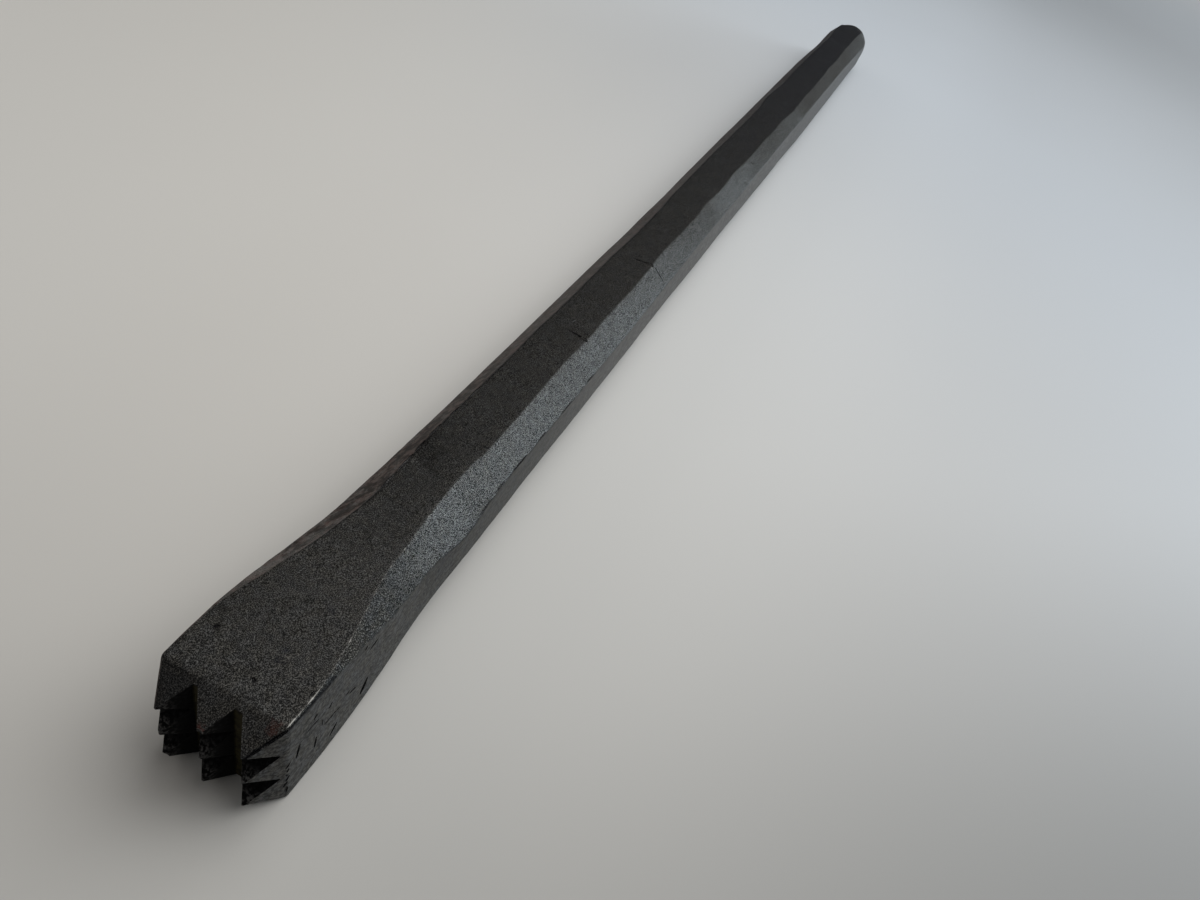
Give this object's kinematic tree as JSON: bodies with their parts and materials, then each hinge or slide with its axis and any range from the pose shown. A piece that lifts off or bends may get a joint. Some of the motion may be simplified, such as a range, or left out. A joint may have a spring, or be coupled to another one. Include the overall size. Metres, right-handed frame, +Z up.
{
  "type": "bush chisel",
  "caption": "Hand bush chisel for dressing stone: octagonal forged steel bar with a square head cut into a grid of pyramid teeth.",
  "frame": {"origin": "on the surface that the chisel lies on, under the middle of its length", "axes": "+X along the bar from the teeth to the struck end, +Z up from the bottom flat"},
  "size_m": [0.23, 0.01, 0.01],
  "materials": {
    "forged_steel": "dark forge scale, finely granular, worn bright along the head's edges"
  },
  "bodies": {
    "root": {"chisel": "forged_steel"}
  },
  "joints": []
}
